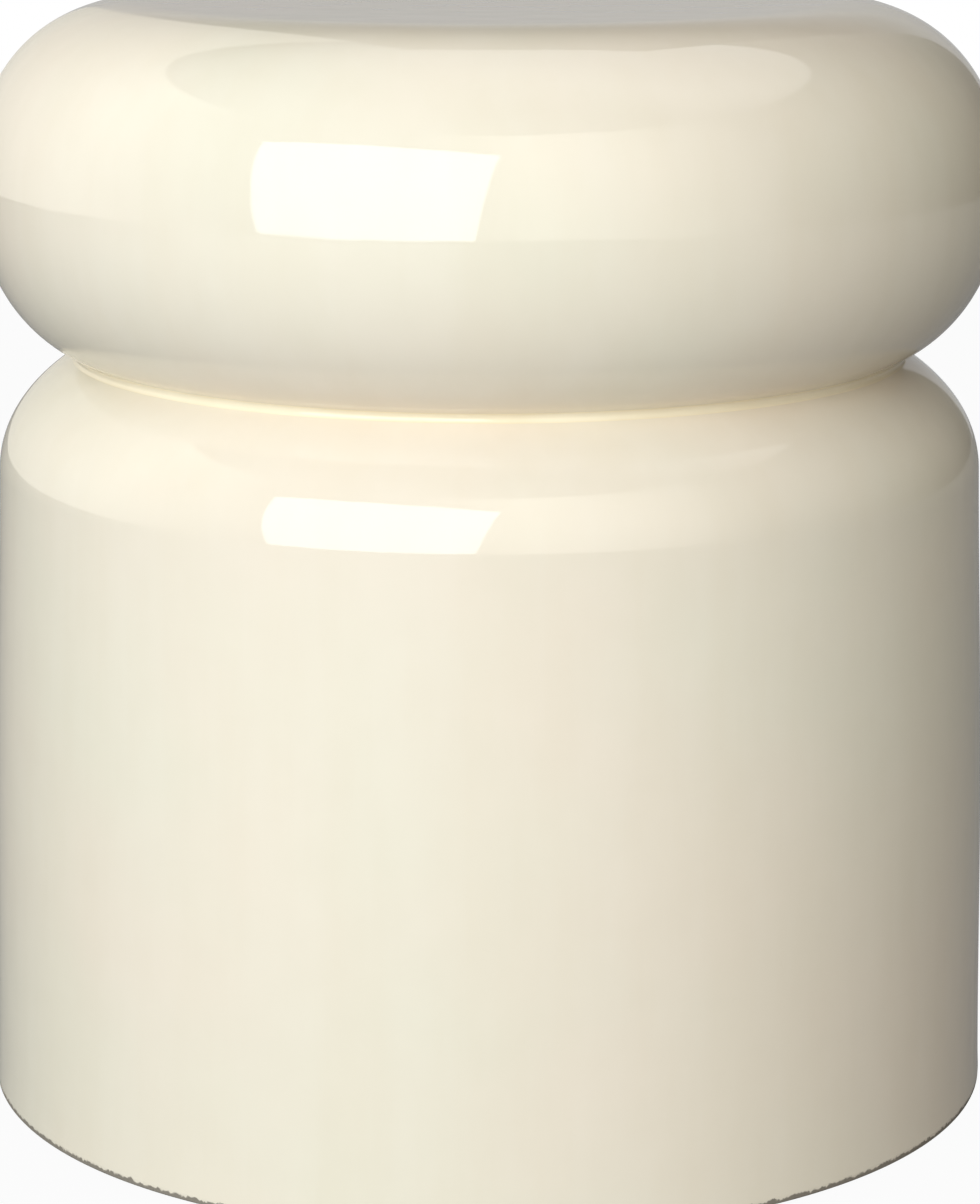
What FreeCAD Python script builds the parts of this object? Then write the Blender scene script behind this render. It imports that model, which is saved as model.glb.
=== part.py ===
import FreeCAD, Part
import math
import os

import Sketcher

# Glazed ceramic garden stool: a puffed, cushion-like seat on a drum that tapers
# slightly towards its shoulder. Both are hollow stoneware castings, luted together
# at the waist. Millimetres, +Z up. The origin is on the floor, on the stool's axis.

doc = FreeCAD.newDocument("GardenStool")

# Driving sizes, one cell each. Lengths are in millimetres, angles in degrees.
SIZES = {
    # the seat casting, from the floor up and from the axis out
    "seat_height": 450.0,
    "seat_radius": 208.0,
    "crown_radius": 65.5,
    "belly_height": 15.5,
    "tuck_height": 61.0,
    "waist_draw_in": 40.0,
    "seat_wall": 9.0,
    "seat_top_wall": 11.0,
    "seat_floor_wall": 8.5,
    "corner_trim_angle": 30.0,
    # the drum casting
    "shoulder_inset": 6.5,
    "shoulder_drop": 46.0,
    "shoulder_angle": 39.0,
    "collar_angle": 21.5,
    "draft_angle": 1.55,
    "drum_wall": 9.0,
    # the luted joint at the waist
    "seam_thickness": 1.0,
    "land_width": 19.0,
    "neck_thickness": 10.0,
    "spigot_wall": 8.0,
    "spigot_clearance": 0.5,
    "coil_size": 8.0,
    # the foot that the drum stands on
    "foot_face_width": 26.0,
    "foot_thickness": 11.0,
    "foot_gusset": 12.0,
    "foot_edge_break": 2.5,
    "lip_height": 6.5,
    "lip_width": 0.7,
    # the rubber pads under the foot
    "pad_radius": 9.5,
    "pad_thickness": 2.0,
}
PAD_COUNT = 6

sheet = doc.addObject("Spreadsheet::Sheet", "Sizes")
for row, (alias, value) in enumerate(SIZES.items(), start=1):
    sheet.set(f"A{row}", str(value))
    sheet.setAlias(f"A{row}", alias)
doc.recompute()


def size(alias):
    """The number that the sheet holds under this alias."""
    return float(sheet.get(alias))


# Heights and radii that several pieces share: as formulas that the outlines follow,
# and as the numbers that each outline is first drawn from
DRUM_TOP = ("(Sizes.seat_height - Sizes.crown_radius - Sizes.belly_height"
            " - Sizes.tuck_height - Sizes.seam_thickness)")
WAIST_RADIUS = "(Sizes.seat_radius - Sizes.waist_draw_in)"
SPIGOT_RADIUS = f"({WAIST_RADIUS} - Sizes.land_width)"
THROAT_RADIUS = f"({SPIGOT_RADIUS} + Sizes.spigot_clearance)"

drum_top = (size("seat_height") - size("crown_radius") - size("belly_height")
            - size("tuck_height") - size("seam_thickness"))
waist_radius = size("seat_radius") - size("waist_draw_in")
spigot_radius = waist_radius - size("land_width")
throat_radius = spigot_radius + size("spigot_clearance")


def point_at(centre, radius, degrees):
    """The point of a circle at an angle from the +x direction."""
    angle = math.radians(degrees)
    return centre[0] + radius * math.cos(angle), centre[1] + radius * math.sin(angle)


def flat_on(centre, radius, degrees):
    """A straight side that touches a circle at an angle: that angle, and how far out it is."""
    angle = math.radians(degrees)
    return angle, centre[0] * math.cos(angle) + centre[1] * math.sin(angle) + radius


def level_at(height):
    return flat_on((0, height), 0, 90)


def upright_at(radius):
    return flat_on((radius, 0), 0, 0)


def crossing(side, other):
    """The corner where two straight sides cross."""
    spread = math.sin(other[0] - side[0])
    x = (side[1] * math.sin(other[0]) - other[1] * math.sin(side[0])) / spread
    y = (other[1] * math.cos(side[0]) - side[1] * math.cos(other[0])) / spread
    return x, y


class Outline:
    """A closed outline in a sketch on the body's XZ plane: x is the radius, y the height."""

    SPOTS = ("edge", "start", "end", "centre")
    ORIGIN = (-1, "start")

    def __init__(self, body, name):
        planes = [item for item in body.Origin.OriginFeatures if item.Role == "XZ_Plane"]
        self.body = body
        self.sketch = body.newObject("Sketcher::SketchObject", name)
        self.sketch.AttachmentSupport = [(planes[0], "")]
        self.sketch.MapMode = "FlatFace"

    def line(self, start, end):
        edge = Part.LineSegment(FreeCAD.Vector(*start, 0), FreeCAD.Vector(*end, 0))
        return self.sketch.addGeometry(edge, False)

    def guide_circle(self, centre, radius):
        """A construction circle, for the flats of an inner corner to touch."""
        ring = Part.Circle(FreeCAD.Vector(*centre, 0), FreeCAD.Vector(0, 0, 1), radius)
        return self.sketch.addGeometry(ring, True)

    def arc(self, centre, radius, start_degrees, end_degrees):
        """An arc drawn anticlockwise between two angles from +x."""
        ring = Part.Circle(FreeCAD.Vector(*centre, 0), FreeCAD.Vector(0, 0, 1), radius)
        edge = Part.ArcOfCircle(ring, math.radians(start_degrees), math.radians(end_degrees))
        return self.sketch.addGeometry(edge, False)

    def tie(self, kind, *where):
        """A constraint between edges, or between their spots named start, end or centre."""
        spots = [self.SPOTS.index(place) if place in self.SPOTS else place for place in where]
        return self.sketch.addConstraint(Sketcher.Constraint(kind, *spots))

    def level(self, *edges):
        for edge in edges:
            self.tie("Horizontal", edge)

    def upright(self, *edges):
        for edge in edges:
            self.tie("Vertical", edge)

    def chain(self, kind, *edges):
        """Joins each edge's end to the start of the next."""
        for edge, following in zip(edges, edges[1:]):
            self.tie(kind, edge, "end", following, "start")

    def bind(self, name, formula, kind, *where):
        """A dimension that follows a formula on the sheet."""
        result = self.sketch.evalExpression(formula)
        number = getattr(result, "Value", result)
        if kind == "Angle":
            number = math.radians(number)
        index = self.tie(kind, *where, number)
        self.sketch.renameConstraint(index, name)
        self.sketch.setExpression(f"Constraints.{name}", formula)

    def bind_flat(self, name, formula, edge, ring):
        """Sets a flat against its guide circle, in the direction that a formula gives."""
        self.tie("Tangent", edge, ring)
        self.bind(name, formula, "Angle", edge)

    def measure(self, name, distance, kind, *where):
        """A dimension that is read from the outline and drives nothing."""
        index = self.tie(kind, *where, distance)
        self.sketch.setDriving(index, False)
        self.sketch.renameConstraint(index, name)

    def revolve(self, name):
        solid = self.body.newObject("PartDesign::Revolution", name)
        solid.Profile = self.sketch
        solid.ReferenceAxis = (self.sketch, ["V_Axis"])
        solid.Angle = 360


def new_body(label):
    body = doc.addObject("PartDesign::Body", label)
    body.Label = label
    return body


def make_seat_shell():
    """The seat: an inverted bowl with a flat top, a full round edge and a neck spigot."""
    body = new_body("seat_shell")
    outline = Outline(body, "SeatProfile")
    radius = size("seat_radius")
    top = size("seat_height")
    crown = size("crown_radius")
    wall = size("seat_wall")
    tuck = size("tuck_height")
    draw_in = size("waist_draw_in")
    belly_top = top - crown
    belly_foot = belly_top - size("belly_height")
    land = drum_top + size("seam_thickness")

    # outside, the tuck is one arc from the waist to the upright belly
    tuck_radius = (tuck ** 2 + draw_in ** 2) / (2 * draw_in)
    tuck_centre = (radius - tuck_radius, belly_foot)
    tuck_start = -math.degrees(math.asin(tuck / tuck_radius))

    # inside, each round corner is trimmed in two flats between the straight walls
    inner_radius = radius - wall
    inner_top = top - size("seat_top_wall")
    inner_floor = land + size("seat_floor_wall")
    inner_crown = crown - wall
    crown_circle = ((inner_radius - inner_crown, inner_top - inner_crown), inner_crown)
    tuck_circle = (tuck_centre, tuck_radius - wall)
    shallow = size("corner_trim_angle")
    steep = 90 - shallow
    crown_low = crossing(upright_at(inner_radius), flat_on(*crown_circle, shallow))
    crown_mid = crossing(flat_on(*crown_circle, shallow), flat_on(*crown_circle, steep))
    crown_high = crossing(flat_on(*crown_circle, steep), level_at(inner_top))
    tuck_high = crossing(upright_at(inner_radius), flat_on(*tuck_circle, -shallow))
    tuck_mid = crossing(flat_on(*tuck_circle, -shallow), flat_on(*tuck_circle, -steep))
    tuck_low = crossing(flat_on(*tuck_circle, -steep), level_at(inner_floor))

    bore_radius = spigot_radius - size("spigot_wall")
    spigot_foot = drum_top - size("neck_thickness") - size("coil_size")

    seat_land = outline.line((spigot_radius, land), (waist_radius, land))
    tuck_out = outline.arc(tuck_centre, tuck_radius, tuck_start, 0)
    belly_out = outline.line((radius, belly_foot), (radius, belly_top))
    crown_out = outline.arc((radius - crown, belly_top), crown, 0, 90)
    top_out = outline.line((radius - crown, top), (0, top))
    axis = outline.line((0, top), (0, inner_top))
    top_in = outline.line((0, inner_top), crown_high)
    crown_steep = outline.line(crown_high, crown_mid)
    crown_shallow = outline.line(crown_mid, crown_low)
    belly_in = outline.line(crown_low, tuck_high)
    tuck_shallow = outline.line(tuck_high, tuck_mid)
    tuck_steep = outline.line(tuck_mid, tuck_low)
    floor_in = outline.line(tuck_low, (bore_radius, inner_floor))
    bore = outline.line((bore_radius, inner_floor), (bore_radius, spigot_foot))
    spigot_end = outline.line((bore_radius, spigot_foot), (spigot_radius, spigot_foot))
    spigot_out = outline.line((spigot_radius, spigot_foot), (spigot_radius, land))
    crown_guide = outline.guide_circle(*crown_circle)
    tuck_guide = outline.guide_circle(*tuck_circle)

    outline.chain("Tangent", tuck_out, belly_out, crown_out, top_out)
    outline.chain("Coincident", top_out, axis, top_in, crown_steep, crown_shallow, belly_in,
                  tuck_shallow, tuck_steep, floor_in, bore, spigot_end, spigot_out,
                  seat_land, tuck_out)
    outline.level(top_out, top_in, floor_in, spigot_end, seat_land)
    outline.upright(belly_out, axis, belly_in, bore, spigot_out)
    outline.tie("Vertical", axis, "start", *outline.ORIGIN)
    outline.tie("Tangent", crown_guide, belly_in)
    outline.tie("Tangent", crown_guide, top_in)
    outline.tie("Tangent", tuck_guide, belly_in)
    outline.tie("Coincident", tuck_guide, "centre", tuck_out, "centre")

    outline.bind("seat_height", "Sizes.seat_height", "DistanceY",
                 *outline.ORIGIN, top_out, "end")
    outline.bind("seat_radius", "Sizes.seat_radius", "DistanceX",
                 *outline.ORIGIN, belly_out, "start")
    outline.bind("crown", "Sizes.crown_radius", "Radius", crown_out)
    outline.bind("belly", "Sizes.belly_height", "DistanceY",
                 belly_out, "start", belly_out, "end")
    outline.bind("tuck", "Sizes.tuck_height", "DistanceY", tuck_out, "start", tuck_out, "end")
    outline.bind("draw_in", "Sizes.waist_draw_in", "DistanceX",
                 tuck_out, "start", tuck_out, "end")
    outline.bind("land", "Sizes.land_width", "DistanceX", seat_land, "start", seat_land, "end")
    outline.bind("wall", "Sizes.seat_wall", "DistanceX", belly_in, "end", belly_out, "start")
    outline.bind("top_wall", "Sizes.seat_top_wall", "DistanceY", axis, "end", axis, "start")
    outline.bind("floor_wall", "Sizes.seat_floor_wall", "DistanceY",
                 seat_land, "start", floor_in, "end")
    outline.bind("inner_crown", "Sizes.crown_radius - Sizes.seat_wall", "Radius", crown_guide)
    outline.bind_flat("crown_steep", "-Sizes.corner_trim_angle * 1 deg",
                      crown_steep, crown_guide)
    outline.bind_flat("crown_shallow", "(Sizes.corner_trim_angle - 90) * 1 deg",
                      crown_shallow, crown_guide)
    outline.bind_flat("tuck_shallow", "-(Sizes.corner_trim_angle + 90) * 1 deg",
                      tuck_shallow, tuck_guide)
    outline.bind_flat("tuck_steep", "(Sizes.corner_trim_angle - 180) * 1 deg",
                      tuck_steep, tuck_guide)
    outline.bind("spigot_wall", "Sizes.spigot_wall", "DistanceX",
                 spigot_end, "start", spigot_end, "end")
    outline.bind("spigot_depth",
                 "Sizes.seam_thickness + Sizes.neck_thickness + Sizes.coil_size",
                 "DistanceY", spigot_out, "start", spigot_out, "end")
    outline.revolve("SeatCasting")
    return body


def shoulder_arcs(reach, rise, first, second, last):
    """Radii of two arcs that meet at an angle and together span a reach and a rise."""
    reach_a = math.cos(first) - math.cos(second)
    reach_b = math.cos(second) - math.cos(last)
    rise_a = math.sin(second) - math.sin(first)
    rise_b = math.sin(last) - math.sin(second)
    scale = reach_a * rise_b - reach_b * rise_a
    shoulder = (reach * rise_b - reach_b * rise) / scale
    collar = (reach_a * rise - reach * rise_a) / scale
    return shoulder, collar


def make_drum_shell():
    """The drum: a drafted wall with a domed shoulder, a flat neck and an in-turned foot."""
    body = new_body("drum_shell")
    outline = Outline(body, "DrumProfile")
    draft = size("draft_angle")
    turned = draft + size("shoulder_angle")
    collared = turned + size("collar_angle")
    wall = size("drum_wall")
    wall_top = (size("seat_radius") - size("shoulder_inset"),
                drum_top - size("shoulder_drop"))
    shoulder_radius, collar_radius = shoulder_arcs(
        wall_top[0] - waist_radius, size("shoulder_drop"),
        math.radians(draft), math.radians(turned), math.radians(collared))
    shoulder_centre = point_at(wall_top, -shoulder_radius, draft)
    collar_centre = point_at(shoulder_centre, shoulder_radius - collar_radius, turned)

    # outside, the wall ends in a slight lip above the foot's broken edge
    foot_level = size("pad_thickness")
    lip_foot = foot_level + size("foot_edge_break")
    lip_top = lip_foot + size("lip_height")
    wall_foot = crossing(flat_on(wall_top, 0, draft), level_at(lip_top))
    lip_edge = (wall_foot[0] + size("lip_width"), lip_foot)
    face_edge = (lip_edge[0] - size("foot_edge_break"), foot_level)

    # inside, the shoulder is trimmed in two flats, and a gusset backs the foot
    neck_foot = drum_top - size("neck_thickness")
    foot_top = foot_level + size("foot_thickness")
    gusset_top = foot_top + size("foot_gusset")
    foot_bore = face_edge[0] - size("foot_face_width")
    shoulder_circle = (shoulder_centre, shoulder_radius - wall)
    collar_circle = (collar_centre, collar_radius - wall)
    wall_side = flat_on(*shoulder_circle, draft)
    shoulder_side = flat_on(*shoulder_circle, (draft + turned) / 2)
    collar_side = flat_on(*collar_circle, (turned + collared) / 2)
    wall_in_foot = crossing(wall_side, level_at(gusset_top))
    wall_in_top = crossing(wall_side, shoulder_side)
    shoulder_top = crossing(shoulder_side, collar_side)
    collar_top = crossing(collar_side, level_at(neck_foot))
    gusset_foot = (wall_in_foot[0] - size("foot_gusset"), foot_top)

    lip = outline.line(lip_edge, wall_foot)
    wall_out = outline.line(wall_foot, wall_top)
    shoulder_out = outline.arc(shoulder_centre, shoulder_radius, draft, turned)
    collar_out = outline.arc(collar_centre, collar_radius, turned, collared)
    neck_land = outline.line((waist_radius, drum_top), (throat_radius, drum_top))
    throat = outline.line((throat_radius, drum_top), (throat_radius, neck_foot))
    neck_under = outline.line((throat_radius, neck_foot), collar_top)
    collar_in = outline.line(collar_top, shoulder_top)
    shoulder_in = outline.line(shoulder_top, wall_in_top)
    wall_in = outline.line(wall_in_top, wall_in_foot)
    gusset = outline.line(wall_in_foot, gusset_foot)
    foot_upper = outline.line(gusset_foot, (foot_bore, foot_top))
    foot_inner = outline.line((foot_bore, foot_top), (foot_bore, foot_level))
    foot_face = outline.line((foot_bore, foot_level), face_edge)
    edge_break = outline.line(face_edge, lip_edge)
    shoulder_guide = outline.guide_circle(*shoulder_circle)
    collar_guide = outline.guide_circle(*collar_circle)

    outline.chain("Tangent", wall_out, shoulder_out, collar_out)
    outline.chain("Coincident", collar_out, neck_land, throat, neck_under, collar_in,
                  shoulder_in, wall_in, gusset, foot_upper, foot_inner, foot_face,
                  edge_break, lip, wall_out)
    outline.level(neck_land, neck_under, foot_upper, foot_face)
    outline.upright(throat, foot_inner)
    outline.tie("Parallel", wall_in, wall_out)
    outline.tie("Tangent", shoulder_guide, wall_in)
    outline.tie("Coincident", shoulder_guide, "centre", shoulder_out, "centre")
    outline.tie("Coincident", collar_guide, "centre", collar_out, "centre")

    outline.bind("drum_top", DRUM_TOP, "DistanceY", *outline.ORIGIN, collar_out, "end")
    outline.bind("waist_radius", WAIST_RADIUS, "DistanceX", *outline.ORIGIN, collar_out, "end")
    outline.bind("wall_top", "Sizes.seat_radius - Sizes.shoulder_inset", "DistanceX",
                 *outline.ORIGIN, wall_out, "end")
    outline.bind("shoulder_drop", "Sizes.shoulder_drop", "DistanceY",
                 shoulder_out, "start", collar_out, "end")
    outline.bind("draft", "(Sizes.draft_angle + 90) * 1 deg", "Angle", wall_out)
    outline.bind("shoulder_angle", "Sizes.shoulder_angle * 1 deg", "Angle", shoulder_out)
    outline.bind("collar_angle", "Sizes.collar_angle * 1 deg", "Angle", collar_out)
    outline.bind("throat_radius", THROAT_RADIUS, "DistanceX", *outline.ORIGIN, throat, "start")
    outline.bind("neck_thickness", "Sizes.neck_thickness", "DistanceY",
                 throat, "end", throat, "start")
    outline.bind("wall", "Sizes.drum_wall", "Distance", wall_in, "start", wall_out)
    outline.bind("collar_wall", "Sizes.drum_wall", "Distance", collar_guide, collar_out)
    outline.bind_flat("shoulder_flat",
                      "(Sizes.draft_angle + Sizes.shoulder_angle / 2 - 90) * 1 deg",
                      shoulder_in, shoulder_guide)
    outline.bind_flat("collar_flat",
                      "(Sizes.draft_angle + Sizes.shoulder_angle + Sizes.collar_angle / 2"
                      " - 90) * 1 deg",
                      collar_in, collar_guide)
    outline.bind("gusset_height", "Sizes.foot_gusset", "DistanceY",
                 gusset, "end", gusset, "start")
    outline.bind("gusset_width", "Sizes.foot_gusset", "DistanceX",
                 gusset, "end", gusset, "start")
    outline.bind("foot_level", "Sizes.pad_thickness", "DistanceY",
                 *outline.ORIGIN, foot_face, "start")
    outline.bind("foot_thickness", "Sizes.foot_thickness", "DistanceY",
                 foot_inner, "end", foot_inner, "start")
    outline.bind("foot_face", "Sizes.foot_face_width", "DistanceX",
                 foot_face, "start", foot_face, "end")
    outline.bind("edge_height", "Sizes.foot_edge_break", "DistanceY",
                 edge_break, "start", edge_break, "end")
    outline.bind("edge_width", "Sizes.foot_edge_break", "DistanceX",
                 edge_break, "start", edge_break, "end")
    outline.bind("lip_height", "Sizes.lip_height", "DistanceY", lip, "start", lip, "end")
    outline.bind("lip_width", "Sizes.lip_width", "DistanceX", lip, "end", lip, "start")
    outline.measure("face_edge", face_edge[0], "DistanceX", *outline.ORIGIN, foot_face, "end")
    outline.revolve("DrumCasting")
    return body


def make_waist_seam():
    """The slip that lutes the two lands together, a thin flat ring out to the crease."""
    body = new_body("waist_seam")
    outline = Outline(body, "SeamProfile")
    seam_top = drum_top + size("seam_thickness")

    lower = outline.line((throat_radius, drum_top), (waist_radius, drum_top))
    rim = outline.line((waist_radius, drum_top), (waist_radius, seam_top))
    upper = outline.line((waist_radius, seam_top), (throat_radius, seam_top))
    inner = outline.line((throat_radius, seam_top), (throat_radius, drum_top))

    outline.chain("Coincident", lower, rim, upper, inner, lower)
    outline.level(lower, upper)
    outline.upright(rim, inner)
    outline.bind("drum_top", DRUM_TOP, "DistanceY", *outline.ORIGIN, lower, "start")
    outline.bind("throat_radius", THROAT_RADIUS, "DistanceX", *outline.ORIGIN, lower, "start")
    outline.bind("waist_radius", WAIST_RADIUS, "DistanceX", *outline.ORIGIN, lower, "end")
    outline.bind("thickness", "Sizes.seam_thickness", "DistanceY", rim, "start", rim, "end")
    outline.revolve("SlipRing")
    return body


def make_waist_coil():
    """A clay coil pressed into the corner under the drum's neck, round the spigot."""
    body = new_body("waist_coil")
    outline = Outline(body, "CoilProfile")
    neck_foot = drum_top - size("neck_thickness")
    coil = size("coil_size")
    corner = (throat_radius, neck_foot)

    pressed = outline.line((throat_radius, neck_foot - coil), (throat_radius + coil, neck_foot))
    neck_side = outline.line((throat_radius + coil, neck_foot), corner)
    spigot_side = outline.line(corner, (throat_radius, neck_foot - coil))

    outline.chain("Coincident", pressed, neck_side, spigot_side, pressed)
    outline.level(neck_side)
    outline.upright(spigot_side)
    outline.bind("neck_foot", f"{DRUM_TOP} - Sizes.neck_thickness", "DistanceY",
                 *outline.ORIGIN, neck_side, "end")
    outline.bind("throat_radius", THROAT_RADIUS, "DistanceX", *outline.ORIGIN, neck_side, "end")
    outline.bind("coil_width", "Sizes.coil_size", "DistanceX",
                 neck_side, "end", neck_side, "start")
    outline.bind("coil_height", "Sizes.coil_size", "DistanceY",
                 spigot_side, "end", spigot_side, "start")
    outline.revolve("ClayCoil")
    return body


def make_foot_pad(index):
    """One round rubber pad, stuck under the middle of the foot's face."""
    pad = doc.addObject("Part::Cylinder", f"foot_pad_{index + 1}")
    pad.Label = f"foot_pad_{index + 1}"
    pad.setExpression("Radius", "Sizes.pad_radius")
    pad.setExpression("Height", "Sizes.pad_thickness")
    ring = "(DrumProfile.Constraints.face_edge - Sizes.foot_face_width * 1 mm / 2)"
    bearing = f"{index} * 360 deg / {PAD_COUNT}"
    pad.setExpression("Placement.Base.x", f"{ring} * sin({bearing})")
    pad.setExpression("Placement.Base.y", f"-{ring} * cos({bearing})")
    return pad


def check(pieces):
    """Stops if an object failed to recompute, or a piece has no sound solid."""
    for item in doc.Objects:
        if "Invalid" in item.State or "Error" in item.State:
            raise RuntimeError(f"{item.Label} failed: {item.State}")
        if item.TypeId == "Sketcher::SketchObject" and not item.FullyConstrained:
            raise RuntimeError(f"{item.Label} is not fully constrained")
    for piece in pieces:
        if piece.Shape.isNull() or not piece.Shape.isValid() or not piece.Shape.Solids:
            raise RuntimeError(f"{piece.Label} has no valid solid")


pieces = [make_seat_shell(), make_drum_shell(), make_waist_seam(), make_waist_coil()]
pieces += [make_foot_pad(index) for index in range(PAD_COUNT)]
doc.recompute()
check(pieces)

os.makedirs("parts", exist_ok=True)
for piece in pieces:
    piece.Shape.exportStep(f"parts/{piece.Label}.step")
    box = piece.Shape.optimalBoundingBox()
    print(f"{piece.Label}: {piece.Shape.Volume / 1000:.1f} cm3, {box.XLength:.1f} mm wide,"
          f" from {box.ZMin:.1f} to {box.ZMax:.1f} mm high")
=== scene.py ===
import math

import bpy
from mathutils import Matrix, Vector, noise


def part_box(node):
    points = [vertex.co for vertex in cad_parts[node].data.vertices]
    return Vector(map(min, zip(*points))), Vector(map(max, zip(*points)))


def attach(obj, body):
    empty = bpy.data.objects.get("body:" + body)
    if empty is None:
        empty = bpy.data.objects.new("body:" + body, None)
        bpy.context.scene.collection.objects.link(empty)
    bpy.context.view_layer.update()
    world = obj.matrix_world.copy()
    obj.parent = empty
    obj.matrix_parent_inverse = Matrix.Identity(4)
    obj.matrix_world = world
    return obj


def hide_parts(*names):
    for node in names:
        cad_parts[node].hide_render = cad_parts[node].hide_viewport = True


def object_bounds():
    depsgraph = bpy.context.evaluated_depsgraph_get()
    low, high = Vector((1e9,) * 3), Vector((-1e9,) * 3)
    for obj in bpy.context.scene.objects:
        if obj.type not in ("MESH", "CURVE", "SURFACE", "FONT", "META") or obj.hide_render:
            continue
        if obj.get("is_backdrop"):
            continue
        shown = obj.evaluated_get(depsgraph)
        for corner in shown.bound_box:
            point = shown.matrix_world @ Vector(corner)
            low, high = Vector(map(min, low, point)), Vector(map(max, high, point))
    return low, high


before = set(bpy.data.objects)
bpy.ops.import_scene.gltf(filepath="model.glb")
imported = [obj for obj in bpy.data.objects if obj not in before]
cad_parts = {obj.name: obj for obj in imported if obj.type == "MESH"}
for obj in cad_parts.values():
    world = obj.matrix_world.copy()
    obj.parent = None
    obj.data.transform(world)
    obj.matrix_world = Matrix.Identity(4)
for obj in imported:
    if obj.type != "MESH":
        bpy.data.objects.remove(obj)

# %% [markdown]
# # A glazed garden stool, from two castings to one finish
# A garden stool of this kind is two hollow clay castings: a puffed seat, and a drum
# that carries it. They are joined at the waist with wet slip, dipped in cream glaze and
# fired. The CAD frame holds each casting at its real size, with plain arcs and flats.
# Here each one gets the softer curves, the glaze and the bare clay of the real thing.
# All lengths below are in metres, on the frame's own axes: Z is up and the stool
# stands on the floor at the origin.

# %% Read the places of the castings from the frame
MM = 0.001
cad_low, cad_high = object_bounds()
seat_low, seat_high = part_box("seat_shell")
drum_low, drum_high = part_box("drum_shell")
seam_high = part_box("waist_seam")[1]
coil_low, coil_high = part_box("waist_coil")

SEAT_TOP = seat_high[2]
SEAT_RADIUS = seat_high[0]
SPIGOT_FOOT = seat_low[2]
DRUM_FOOT = drum_low[2]
NECK_TOP = drum_high[2]
LIP_RADIUS = drum_high[0]
LAND_LEVEL = seam_high[2]
CREASE_RADIUS = seam_high[0]
print(f"seat {SEAT_TOP * 1000:.0f} mm high, {SEAT_RADIUS * 2000:.0f} mm across")

# %% [markdown]
# ## The camera
# The photograph was taken from a little above the seat, close enough for the nearer
# edges to look larger. The angle of view, the height and the distance were worked out
# from how far the round edges open: a circle seen from 13 degrees above shows as an
# ellipse, and how its near half differs from its far half gives the distance.

# %% Put the camera at the photograph's place
CAMERA_PLACE = Vector((0.0009, -1.5722, 0.5570))
CAMERA_AIM = Vector((0.0009, 0.0, 0.1997))
SENSOR_WIDTH = 36.0
PICTURE_HEIGHT = 1204
FOCAL_PIXELS = 3855.4

camera_data = bpy.data.cameras.new("camera")
camera_data.sensor_width = SENSOR_WIDTH
camera_data.lens = FOCAL_PIXELS / PICTURE_HEIGHT * SENSOR_WIDTH
camera = bpy.data.objects.new("camera", camera_data)
bpy.context.scene.collection.objects.link(camera)
camera.location = CAMERA_PLACE
camera.rotation_euler = (CAMERA_AIM - CAMERA_PLACE).to_track_quat("-Z", "Y").to_euler()
bpy.context.scene.camera = camera
print(f"lens {camera_data.lens:.1f} mm")

# %% [markdown]
# ## Turning an outline into a casting
# Both castings are round, so each one is half of its cross-section swung about the
# axis. Blender's Screw modifier can do this too. Writing the rings directly keeps two
# things in hand: which faces are glazed and which are bare clay, and the small
# unevenness that a kiln leaves, which a perfect turning doesn't have.

# %% Helpers that draw outlines
def arc_of_superellipse(middle, reach, exponent, start, end, steps):
    """Points of a curve between a circle and a rounded square, by an angle in degrees."""
    points = []
    for step in range(steps + 1):
        angle = math.radians(start + (end - start) * step / steps)
        across = math.copysign(abs(math.cos(angle)) ** (2 / exponent), math.cos(angle))
        along = math.copysign(abs(math.sin(angle)) ** (2 / exponent), math.sin(angle))
        points.append((middle[0] + reach[0] * across, middle[1] + reach[1] * along))
    return points


def rounded(before, corner, after, radius, steps=6):
    """Points of the arc that rounds off one corner of an outline."""
    corner = Vector(corner)
    into = (Vector(before) - corner).normalized()
    out = (Vector(after) - corner).normalized()
    half = into.angle(out) / 2
    centre = corner + (into + out).normalized() * radius / math.sin(half)
    first = corner + into * radius / math.tan(half) - centre
    last = corner + out * radius / math.tan(half) - centre
    sweep = first.angle_signed(last)
    points = []
    for step in range(steps + 1):
        turn = -sweep * step / steps
        across = first.x * math.cos(turn) - first.y * math.sin(turn)
        along = first.x * math.sin(turn) + first.y * math.cos(turn)
        points.append((centre.x + across, centre.y + along))
    return points


def softened(corners):
    """An outline through corners given as (radius, height, rounding)."""
    points = []
    for index, (x, y, rounding) in enumerate(corners):
        if rounding == 0:
            points.append((x, y))
            continue
        before = corners[index - 1][:2]
        after = corners[index + 1][:2]
        points += rounded(before, (x, y), after, rounding)
    return points


print("outline helpers: arc_of_superellipse, rounded, softened")


# %% A helper that turns an outline about the stool's axis
TURNS = 288
SHARP_FROM = math.radians(38)


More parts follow.
